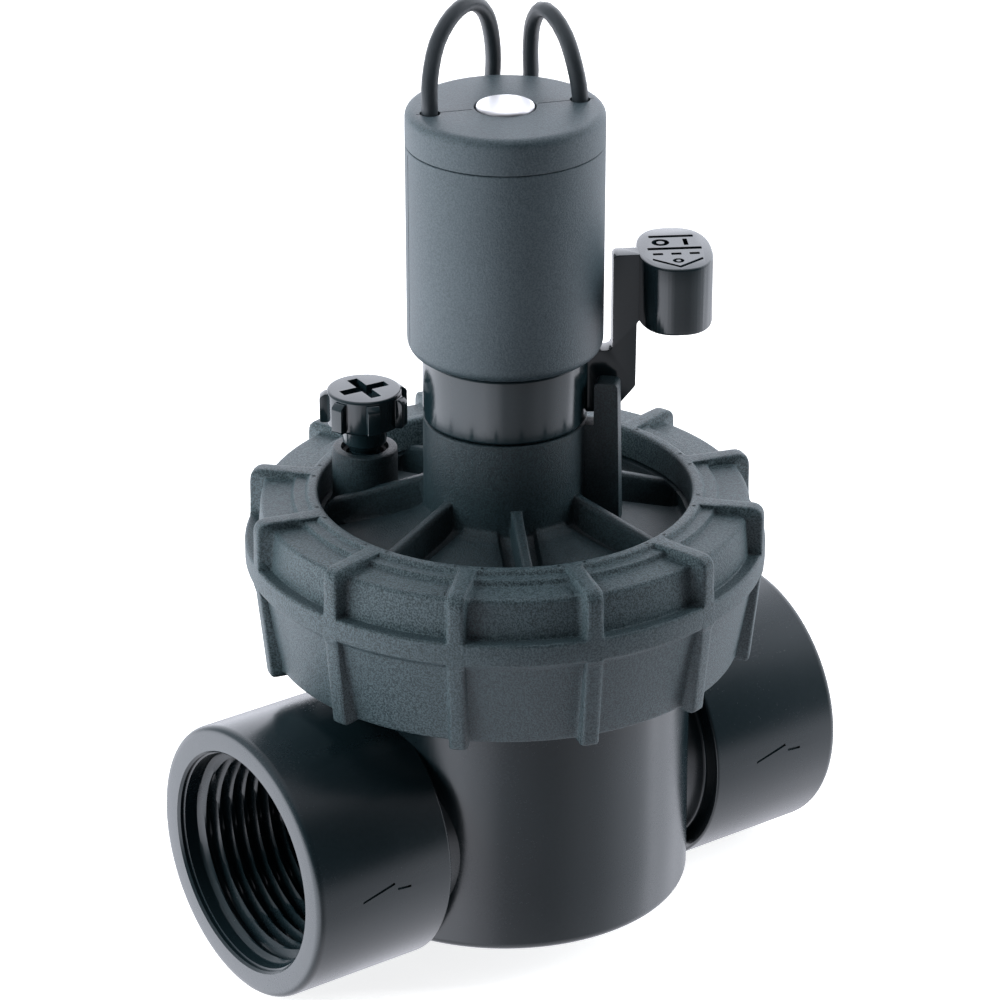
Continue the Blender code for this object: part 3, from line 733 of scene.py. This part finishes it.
def make_bonnet():
    """The cover: a coned floor with raised pads, seven ribs, the tower, the stop post and the bleed boss."""
    shared_top = [
        (8.5, 70.0, 0.2),
        (8.5, TOWER_TOP, 0.3),
        (9.4, TOWER_TOP, 0.2),
        (9.4, 79.5, 0.2),
        (11.4, 79.5, 0.2),
        (11.4, TOWER_TOP, 0.2),
        (TOWER_RADIUS, TOWER_TOP, 0.5),
        (TOWER_RADIUS, 72.9, 0.2),
        (TOWER_RADIUS, 70.7, 0.2),
    ]
    under = [
        (32.6, 64.2, 0.4),
        (32.6, 59.3, 0.5),
        (24.4, 59.3, 0.3),
        (22.0, 60.8, 0.3),
        (9.2, 64.0, 0.3),
        (1.1, 64.0, 0.1),
        (1.1, 71.1, 0.1),
        (2.3, 71.1, 0.2),
        (2.8, 70.0, 0.3),
    ]
    floor = [
        (TOWER_RADIUS, 68.6, 0.2),
        (TOWER_RADIUS, 66.4, 0.9),
        (14.0, 65.3, 0.6),
        (17.0, 64.3, 0.3),
        (24.6, 62.2, 0.3),
        (27.0, 61.6, 0.9),
        (27.4, 64.2, 0.1),
    ]
    pads = [
        (TOWER_RADIUS, 68.6, 0.2),
        (TOWER_RADIUS, 67.2, 0.9),
        (14.0, 66.3, 0.6),
        (17.0, 65.4, 0.3),
        (24.6, 63.2, 0.4),
        (27.0, 62.6, 0.9),
        (27.4, 64.2, 0.1),
    ]
    ribs = [
        (TOWER_RADIUS + 0.1, 70.7, 0.2),
        (13.2, 70.4, 0.2),
        (15.5, 69.65, 0.3),
        (18.0, 68.85, 0.3),
        (25.6, 66.35, 1.0),
        (27.1, 64.7, 0.5),
        (27.4, 64.25, 0.1),
    ]
    floor_points = rounded(shared_top + floor + under, 4)
    pad_points = rounded(shared_top + pads + under, 4)
    rib_points = rounded(shared_top + ribs + under, 4)

    def section(angle, share):
        """Share 0 is the low floor, 1 the top of a rib, and -1 a raised pad."""
        return part_way(floor_points, rib_points if share >= 0 else pad_points, abs(share))

    columns = []
    edge = [(3.0, -1.0), (2.85, -0.9), (2.55, -0.1), (2.4, 0.0)]
    edge += [(RIB_HALF + 0.5, 0.0), (RIB_HALF + 0.15, 0.03), (RIB_HALF + 0.03, 0.16)]
    edge += [(RIB_HALF - 0.03, 0.82), (RIB_HALF - 0.2, 0.97), (RIB_HALF - 0.45, 1.0)]
    for i in range(RIB_COUNT):
        angle = RIB_START + TURN * i / RIB_COUNT
        columns += [(angle, -offset, share) for offset, share in edge]
        columns += [(angle, offset, share) for offset, share in reversed(edge)]
        margin = 3.6 / TOWER_RADIUS
        span = TURN / RIB_COUNT - 2 * margin
        columns += [(angle + margin + span * k / 12, 0.0, -1.0) for k in range(13)]
    # The bonnet wears the darker copy of the grained plastic, which is painted shade for its recess.
    bonnet = swept("bonnet_moulding", columns, section, GRAINED_PLASTIC_PAINTED_SHADE, sharp=50)
    post = [
        (11.0, 64.0, 0.1),
        (17.5, 62.8, 0.1),
        (17.0, 87.6, 0.9),
        (13.5, 87.6, 0.8),
        (13.5, 80.8, 0.2),
        (12.0, 80.8, 0.2),
        (11.0, 79.0, 0.1),
    ]
    post_piece = slab("post", post, -1.6, 1.6, upright=True, turn=POST_ANGLE, ease=0.4)
    boss = [
        (0, 72.9, 0),
        (4.9, 72.9, 0.4),
        (4.95, 68.0, 0.3),
        (5.0, 64.6, 1.6),
        (6.6, 62.6, 0.2),
        (0, 61.8, 0),
    ]
    boss_piece = lathe("boss", boss, None, 64, False, 6, at=BLEED_AT)
    union(bonnet, post_piece, boss_piece, sharp=50)
    bore = rod("bleed_bore", 2.5, 76, 66, columns=48, at=BLEED_AT)
    seat = rod("bleed_seat", 3.6, 76, 71.3, (0.1, 0.2), columns=48, at=BLEED_AT)
    cut(bonnet, bore, seat, sharp=50)
    return stands_for(bonnet, "bonnet", "grained_plastic", "bonnet")


# Manual lever

KNOB_MIDDLE = 24.95
KNOB_BOTTOM = 95.9
KNOB_POWER = 2.5
MARK_DEPTH = 0.9


def lever_marks():
    """Cuts for the knob's top: two bars with a ring and a line between, three ticks, a chevron and a ring."""
    depth = LEVER_TOP - MARK_DEPTH
    top = LEVER_TOP + 1
    boxes = [
        (0.0, 5.2, 3.3, 0.42),
        (0.0, 0.4, 4.0, 0.46),
        (1.9, 2.85, 0.34, 1.25),
        (-2.7, -1.7, 0.75, 0.4),
        (0.0, -1.7, 0.75, 0.4),
        (2.7, -1.7, 0.75, 0.4),
    ]
    outlines = [[(x - w, y - h), (x + w, y - h), (x + w, y + h), (x - w, y + h)] for x, y, w, h in boxes]
    outlines.append([(-3.7, -4.1), (0.0, -7.2), (3.7, -4.1), (3.7, -3.3), (0.0, -6.4), (-3.7, -3.3)])
    cuts = []
    for i, outline in enumerate(outlines):
        placed = [(KNOB_MIDDLE + across, up, 0.12) for across, up in outline]
        cuts.append(slab(f"mark_{i}", placed, depth, top, turn=LEVER_ANGLE, ease=0))
    for i, (across, up, inner, outer) in enumerate(((-1.8, 2.85, 0.6, 1.3), (0.0, -4.4, 0.35, 0.85))):
        place = Matrix.Rotation(LEVER_ANGLE, 2) @ Vector((KNOB_MIDDLE + across, up))
        section = [(inner, depth, 0.05), (outer, depth, 0.05), (outer, top, 0.05), (inner, top, 0.05)]
        cuts.append(lathe(f"mark_ring_{i}", section, None, 32, at=(place.x, place.y)))
    return cuts


def make_handle():
    """The collar, the upright arm with its web, and the knob with its engraved marks."""
    collar = [
        (8.6, COLLAR_TOP, 0.2),
        (TOWER_RADIUS, COLLAR_TOP, 0.35),
        (TOWER_RADIUS, COLLAR_BOTTOM, 0.35),
        (8.6, COLLAR_BOTTOM, 0.2),
    ]
    handle = lathe("manual_lever", collar, GLOSS_PLASTIC, columns=160)
    arm = [
        (10.4, 81.5, 0.1),
        (15.9, 81.5, 0.4),
        (19.2, 85.4, 0.9),
        (19.3, 95.4, 0.8),
        (20.4, 96.6, 0.4),
        (20.4, LEVER_TOP - 0.05, 0.3),
        (15.8, LEVER_TOP - 0.05, 0.8),
        (15.8, 91.25, 1.0),
        (10.4, 91.25, 0.1),
    ]
    arm_piece = slab("arm", arm, -1.55, 1.55, upright=True, turn=LEVER_ANGLE, ease=0.3)
    knob = []
    for i in range(72):
        bend = TURN * i / 72
        fullness = abs(math.cos(bend)) ** KNOB_POWER + abs(math.sin(bend)) ** KNOB_POWER
        reach = 1 / fullness ** (1 / KNOB_POWER)
        across = KNOB_MIDDLE + 5.5 * reach * math.cos(bend)
        knob.append((across, 0.4 + 8.5 * reach * math.sin(bend), 0))
    knob_piece = slab("knob", knob, KNOB_BOTTOM, LEVER_TOP, turn=LEVER_ANGLE, ease=0.4, steps=1)
    union(handle, arm_piece, knob_piece)
    cut(handle, *lever_marks(), sharp=30)
    return stands_for(handle, "manual_handle", "gloss_plastic", "manual_handle")


# Bleed screw

GRIP_COUNT = 7
GRIP_START = FACING + math.radians(14.5)
SLOT_ANGLE = math.radians(-6.0)
SLOT_DEPTH = 1.4


def make_bleed_screw():
    """The knob with seven grip ribs and a cross slot, on its neck and point."""
    corners = [
        (0, BLEED_TOP, 0),
        (5.6, BLEED_TOP, 0.45),
        (5.6, 76.9, 0.5),
        (3.4, 76.7, 0.3),
        (3.3, 73.9, 0.3),
        (2.2, 72.6, 0.2),
        (2.2, 68.2, 0.2),
        (0.9, 66.5, 0.1),
        (0, 66.5, 0),
    ]
    screw = lathe("bleed_knob", corners, GLOSS_PLASTIC, 96, False, 5, at=BLEED_AT)
    grip = [
        (4.6, 77.2, 0.1),
        (6.7, 77.2, 0.4),
        (6.7, 81.2, 0.8),
        (5.9, 81.75, 0.3),
        (4.6, 81.75, 0.1),
    ]
    ribs = []
    for i in range(GRIP_COUNT):
        turn = GRIP_START + TURN * i / GRIP_COUNT
        ribs.append(slab(f"grip_{i}", grip, -0.95, 0.95, upright=True, turn=turn, ease=0.4, at=BLEED_AT))
    union(screw, *ribs)
    outline = rectangle(3.8, 0.85, 0.15)
    bottom = BLEED_TOP - SLOT_DEPTH
    slots = []
    for i in range(2):
        turn = SLOT_ANGLE + math.pi / 2 * i
        slots.append(slab(f"slot_{i}", outline, bottom, BLEED_TOP + 1, turn=turn, ease=0, at=BLEED_AT))
    cut(screw, *slots)
    return stands_for(screw, "bleed_screw", "gloss_plastic", "bleed_screw")


# Solenoid


def seam_cuts(name, inner, outer, bottom, top, half):
    """Thin cuts in line with both lead exits, where the coil's mould halves met."""
    outline = [(inner, bottom, 0), (outer, bottom, 0), (outer, top, 0), (inner, top, 0)]
    cuts = []
    for i in range(2):
        turn = LEAD_EXIT_ANGLE + math.pi * i
        cuts.append(slab(f"{name}_{i}", outline, -half, half, upright=True, turn=turn, ease=0))
    return cuts


def make_solenoid():
    """The coil casing and its cap with two lead holes, and the bright end of the core."""
    radius = COIL_RADIUS
    bottom = COIL_BOTTOM
    casing = [
        (13.3, CAP_SEAM + 0.12, 0.1),
        (radius, CAP_SEAM + 0.12, 0.22),
        (radius - 0.1, bottom, 2.4),
        (6.0, bottom, 0.2),
        (6.0, bottom + 0.9, 0.2),
        (13.3, bottom + 0.9, 0.4),
    ]
    housing = lathe("coil_casing", casing, COIL_RESIN, columns=192, steps=8)
    cut(housing, *seam_cuts("casing_seam", radius - 0.14, radius + 1, bottom + 1.6, CAP_SEAM - 0.5, 0.11))
    stands_for(housing, "bonnet", "coil_resin", "solenoid_housing")
    cap_corners = [
        (4.5, COIL_TOP, 0.12),
        (radius, COIL_TOP, 1.5),
        (radius, CAP_SEAM + 0.2, 0.22),
        (4.5, CAP_SEAM + 0.2, 0.1),
    ]
    cap = lathe("coil_cap", cap_corners, COIL_RESIN, columns=192, steps=8)
    holes = []
    for i in range(2):
        angle = LEAD_EXIT_ANGLE + math.pi * i
        place = (LEAD_EXIT_RADIUS * math.cos(angle), LEAD_EXIT_RADIUS * math.sin(angle))
        hole = rod(f"lead_hole_{i}", LEAD_HOLE_RADIUS, COIL_TOP + 1, CAP_SEAM - 1, columns=32, at=place)
        holes.append(hole)
    cut(cap, *holes, *seam_cuts("cap_seam", 4.9, radius - 1.3, COIL_TOP - 0.1, COIL_TOP + 1, 0.09))
    stands_for(cap, "bonnet", "coil_resin", "solenoid_cap")
    core = rod("core_end", CORE_RADIUS, CORE_TOP, CORE_BOTTOM, (0.6, 0.3), STEEL)
    stands_for(core, "bonnet", "steel", "fixed_core")


# Parts that flex

# Node, body, slot, joint, the height that stays, and the share of the length kept at full travel
FLEXING = [
    ("diaphragm", "root", "rubber", "diaphragm_lift", 58.9, 0.294),
    ("diaphragm_spring", "bonnet", "steel", "diaphragm_lift", 63.7, 0.394),
    ("plunger_spring", "bonnet", "steel", "plunger_lift", 104.0, 0.79),
]


def make_flexing_parts():
    """The diaphragm and both springs, as copies of their CAD meshes that ride on their bodies."""
    for node, body, slot, joint, fixed_height, keep in FLEXING:
        mesh = frame["nodes"][node].data.copy()
        obj = bpy.data.objects.new(f"{node}_flexing", mesh)
        bpy.context.scene.collection.objects.link(obj)
        stands_for(obj, body, slot, node)
        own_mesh(obj)


# Leads

LEAD_COIL_RADIUS = 12.4
LEAD_COIL_TURNS = 3.25
LEAD_COIL_PITCH = 2.43
LEAD_COIL_LEVEL = 0.2
LEAD_COIL_BEHIND = 63.0
LEAD_COIL_ASIDE = -5.2
LEAD_COIL_TAIL = 9.0
BARE_LENGTH = 7.0
STRAND_RADIUS = 0.19
# Each point as behind() takes it
LEAD_ROUTES = {
    "left": [
        (-2.94, 10.81, 126.0),
        (-2.9, 10.85, 130.0),
        (-1.6, 10.8, 134.0),
        (1.4, 9.8, 138.4),
        (4.6, 7.6, 141.5),
        (8.2, 5.0, 142.2),
        (11.9, 2.9, 139.4),
        (14.9, 1.9, 134.0),
        (16.8, 1.9, 127.6),
        (17.4, 3.2, 118.0),
        (17.4, 5.6, 108.0),
        (17.8, 7.6, 98.5),
        (21.0, 8.4, 90.5),
        (28.0, 8.5, 83.0),
        (35.8, 8.5, 76.6),
        (41.2, 8.4, 70.8),
        (43.6, 8.2, 61.0),
        (43.9, 8.0, 47.0),
        (43.7, 7.7, 31.0),
        (44.3, 7.4, 20.0),
        (48.2, 7.2, 12.0),
        (54.6, 7.2, 9.95),
    ],
    "right": [
        (2.94, -10.81, 126.0),
        (2.9, -10.8, 130.0),
        (3.9, -10.0, 134.2),
        (6.2, -8.7, 137.8),
        (9.0, -6.9, 140.0),
        (12.0, -5.2, 139.9),
        (14.5, -4.0, 136.8),
        (16.2, -3.7, 132.0),
        (17.1, -3.7, 126.5),
        (17.4, -2.2, 117.0),
        (17.5, 1.4, 107.0),
        (18.2, 4.5, 97.5),
        (22.0, 5.4, 90.0),
        (29.5, 5.6, 83.6),
        (38.0, 5.8, 77.8),
        (44.0, 6.0, 71.6),
        (46.6, 6.3, 62.0),
        (46.9, 6.7, 48.0),
        (46.9, 7.0, 35.0),
        (48.6, 7.2, 25.4),
        (54.6, 7.2, 20.15),
    ],
}


def lead_path(side):
    """The whole centreline: the route, the coil's turns downwards with a level end, and a short tail."""
    route = [behind(*point) for point in LEAD_ROUTES[side]]
    top = LEAD_ROUTES[side][-1][2]
    per_turn = 24
    steps = int(LEAD_COIL_TURNS * per_turn)
    coil = []
    for i in range(steps + 1):
        bend = math.pi / 2 - TURN * i / per_turn
        drop = LEAD_COIL_PITCH * min(i / per_turn, LEAD_COIL_TURNS - LEAD_COIL_LEVEL)
        coil.append(
            behind(
                LEAD_COIL_BEHIND + LEAD_COIL_RADIUS * math.cos(bend),
                LEAD_COIL_ASIDE + LEAD_COIL_RADIUS * math.sin(bend),
                top - drop,
            )
        )
    tail = behind(LEAD_COIL_BEHIND + LEAD_COIL_RADIUS, LEAD_COIL_ASIDE - LEAD_COIL_TAIL, coil[-1].z)
    return spline(route + coil + [tail], 1.6)


def make_leads():
    """Each lead from its hole in the cap to its bared end behind the valve."""
    for side in ("left", "right"):
        path = lead_path(side)
        lead = tube(f"lead_wire_{side}", path, LEAD_RADIUS, INSULATION)
        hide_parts(f"lead_{side}", f"lead_coil_{side}")
        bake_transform(lead)
        end = make_bare_end(side, path[-1])


def make_bare_end(side, start):
    """Seven twisted strands, bared past the insulation."""
    ahead = (behind(0, -1, 0) - behind(0, 0, 0)).normalized()
    across = Vector((0, 0, 1)).cross(ahead)
    shape = None
    for strand in range(7):
        ring = 0.0 if strand == 6 else 2 * STRAND_RADIUS
        path = []
        for i in range(13):
            twist = TURN * (strand / 6 + i / 14)
            offset = across * (ring * math.cos(twist)) + Vector((0, 0, ring * math.sin(twist)))
            path.append(start + ahead * (BARE_LENGTH * i / 12) + offset)
        one = tube(f"strand_{side}_{strand}", path, STRAND_RADIUS, COPPER, sides=6)
        if shape is None:
            shape = one
            continue
        both = bmesh.new()
        both.from_mesh(shape.data)
        both.from_mesh(one.data)
        both.to_mesh(shape.data)
        both.free()
        bpy.data.objects.remove(one, do_unlink=True)
    shape.name = f"bare_end_{side}"
    return stands_for(shape, "root", "copper", f"lead_end_{side}")


# Stage, lights and camera

LOW_CARDS = [
    (-180, 1.0),
    (-150, 1.7),
    (-120, 3.2),
    (-60, 3.3),
    (-32, 3.0),
    (-15, 2.0),
    (0, 0.8),
    (28, 0.6),
    (55, 0.9),
    (85, 1.5),
    (97, 1.6),
    (106, 2.9),
    (115, 1.9),
    (132, 1.8),
    (155, 0.9),
    (180, 1.0),
]
HIGH_CARDS = [
    (-180, 2.7),
    (-150, 2.2),
    (-115, 0.9),
    (-80, 0.7),
    (-50, 0.4),
    (-20, 0.1),
    (66, 0.06),
    (76, 0.25),
    (90, 1.1),
    (112, 2.0),
    (140, 2.4),
    (180, 2.7),
]
BRIGHTEST = 5.0
CARD_TINT = (0.94, 0.96, 1.05)
DIFFUSE_SHARE = 0.3
FLOOR_CARD = 1.5
CEILING_CARD = 0.8


def cards(tree, share, stops, name):
    """A ring of soft cards round the valve, each at an angle right of the facing side, with a brightness."""
    node = tree.nodes.new("ShaderNodeValToRGB")
    node.name = name
    ramp = node.color_ramp
    ramp.interpolation = "EASE"
    for i, (degrees, value) in enumerate(stops):
        position = (degrees + 180) / 360
        stop = ramp.elements[i] if i < 2 else ramp.elements.new(position)
        stop.position = position
        stop.color = (*(value / BRIGHTEST * tint for tint in CARD_TINT), 1.0)
    tree.links.new(share, node.inputs["Fac"])
    return node.outputs["Color"]


def make_surroundings():
    """What surfaces reflect: a floor, a ring of cards below eye level, another above, and a soft ceiling."""
    world = bpy.data.worlds.new("studio")
    world.use_nodes = True
    tree = world.node_tree
    add = tree.nodes.new
    link = tree.links.new
    place = add("ShaderNodeTexCoord")
    turned = add("ShaderNodeMapping")
    turned.inputs["Rotation"].default_value = (0.0, 0.0, -FACING)
    split = add("ShaderNodeSeparateXYZ")
    angle = add("ShaderNodeMath")
    angle.operation = "ARCTAN2"
    share = add("ShaderNodeMapRange")
    share.inputs["From Min"].default_value = -math.pi
    share.inputs["From Max"].default_value = math.pi
    link(place.outputs["Generated"], turned.inputs["Vector"])
    link(turned.outputs["Vector"], split.inputs["Vector"])
    link(split.outputs["Y"], angle.inputs[0])
    link(split.outputs["X"], angle.inputs[1])
    link(angle.outputs["Value"], share.inputs["Value"])
    shown = None
    layers = [
        (cards(tree, share.outputs["Result"], LOW_CARDS, "low_cards"), -0.85, -0.55),
        (cards(tree, share.outputs["Result"], HIGH_CARDS, "high_cards"), -0.3, 0.0),
        (None, 0.6, 0.95),
    ]
    for color, start, end in layers:
        rise = add("ShaderNodeMapRange")
        rise.interpolation_type = "SMOOTHSTEP"
        rise.inputs["From Min"].default_value = start
        rise.inputs["From Max"].default_value = end
        link(split.outputs["Z"], rise.inputs["Value"])
        mixed = add("ShaderNodeMix")
        mixed.data_type = "RGBA"
        mixed.inputs[6].default_value = (*(FLOOR_CARD / BRIGHTEST * tint for tint in CARD_TINT), 1.0)
        mixed.inputs[7].default_value = (*(CEILING_CARD / BRIGHTEST * tint for tint in CARD_TINT), 1.0)
        link(rise.outputs["Result"], mixed.inputs["Factor"])
        if shown:
            link(shown, mixed.inputs[6])
        if color:
            link(color, mixed.inputs[7])
        shown = mixed.outputs[2]
    ray = add("ShaderNodeLightPath")
    power = add("ShaderNodeMapRange")
    power.inputs["To Min"].default_value = BRIGHTEST
    power.inputs["To Max"].default_value = BRIGHTEST * DIFFUSE_SHARE
    link(ray.outputs["Is Diffuse Ray"], power.inputs["Value"])
    background = tree.nodes["Background"]
    link(shown, background.inputs["Color"])
    link(power.outputs["Result"], background.inputs["Strength"])
    bpy.context.scene.world = world


def make_stage():
    """A wide pale floor, which shows white but which polished surfaces look past."""
    shape = bmesh.new()
    bmesh.ops.create_grid(shape, x_segments=1, y_segments=1, size=6.0)
    look, _, shader = nodes_of("pale_floor")
    shader.inputs["Base Color"].default_value = (0.9, 0.9, 0.9, 1.0)
    shader.inputs["Roughness"].default_value = 0.9
    shader.inputs["Specular IOR Level"].default_value = 0.0
    shader.inputs["Emission Color"].default_value = (1.0, 1.0, 1.0, 1.0)
    shader.inputs["Emission Strength"].default_value = 0.8
    floor = piece("floor", shape, look)
    floor.location.z = -0.0002
    floor.visible_glossy = False
    floor.visible_diffuse = False


LIGHT_TINT = (0.96, 0.98, 1.0)


def soft_light(name, azimuth, elevation, distance, size, power):
    """An area light facing the valve's middle, placed as seen from there. Glossy surfaces look past it."""
    data = bpy.data.lights.new(name, "AREA")
    data.shape = "RECTANGLE"
    data.size, data.size_y = size
    data.energy = power
    data.color = LIGHT_TINT
    light = bpy.data.objects.new(name, data)
    light.visible_glossy = False
    bpy.context.scene.collection.objects.link(light)
    turn = math.radians(azimuth)
    rise = math.radians(elevation)
    away = Vector((math.cos(turn) * math.cos(rise), math.sin(turn) * math.cos(rise), math.sin(rise)))
    middle = Vector((0.0, 0.0, 0.065))
    light.location = middle + away * distance
    light.rotation_euler = (-away).to_track_quat("-Z", "Y").to_euler()
    return light


CAMERA_PLACE = (-0.37636, -0.51294, 0.36108)
CAMERA_AZIMUTH = math.radians(-36.2)
CAMERA_ELEVATION = math.radians(24.815)
CAMERA_LENS = 168.8


def make_camera():
    """A long lens that looks down a little on the facing side."""
    data = bpy.data.cameras.new("camera")
    data.lens = CAMERA_LENS
    data.sensor_width = 36.0
    data.clip_start = 0.01
    data.clip_end = 50.0
    camera = bpy.data.objects.new("camera", data)
    bpy.context.scene.collection.objects.link(camera)
    camera.location = CAMERA_PLACE
    camera.rotation_euler = (math.pi / 2 - CAMERA_ELEVATION, 0.0, CAMERA_AZIMUTH)
    bpy.context.scene.camera = camera


def make_lights():
    """A broad soft key on the camera's left, a strip behind on the right, and a top light."""
    facing = math.degrees(FACING)
    soft_light("key_left", facing - 75, elevation=14, distance=0.9, size=(0.7, 0.9), power=14.0)
    soft_light("strip_right", facing + 100, elevation=12, distance=0.8, size=(0.22, 0.9), power=8.0)
    soft_light("top", facing + 180, elevation=70, distance=0.9, size=(0.9, 0.9), power=2.0)


def main():
    scene = bpy.context.scene
    scene.view_settings.view_transform = "Standard"
    make_camera()
    dress_hidden_nodes()
    make_leads()
    make_body()
    make_lock_ring()
    make_bonnet()
    make_handle()
    make_bleed_screw()
    make_solenoid()
    make_flexing_parts()
    make_stage()
    make_surroundings()
    make_lights()


main()
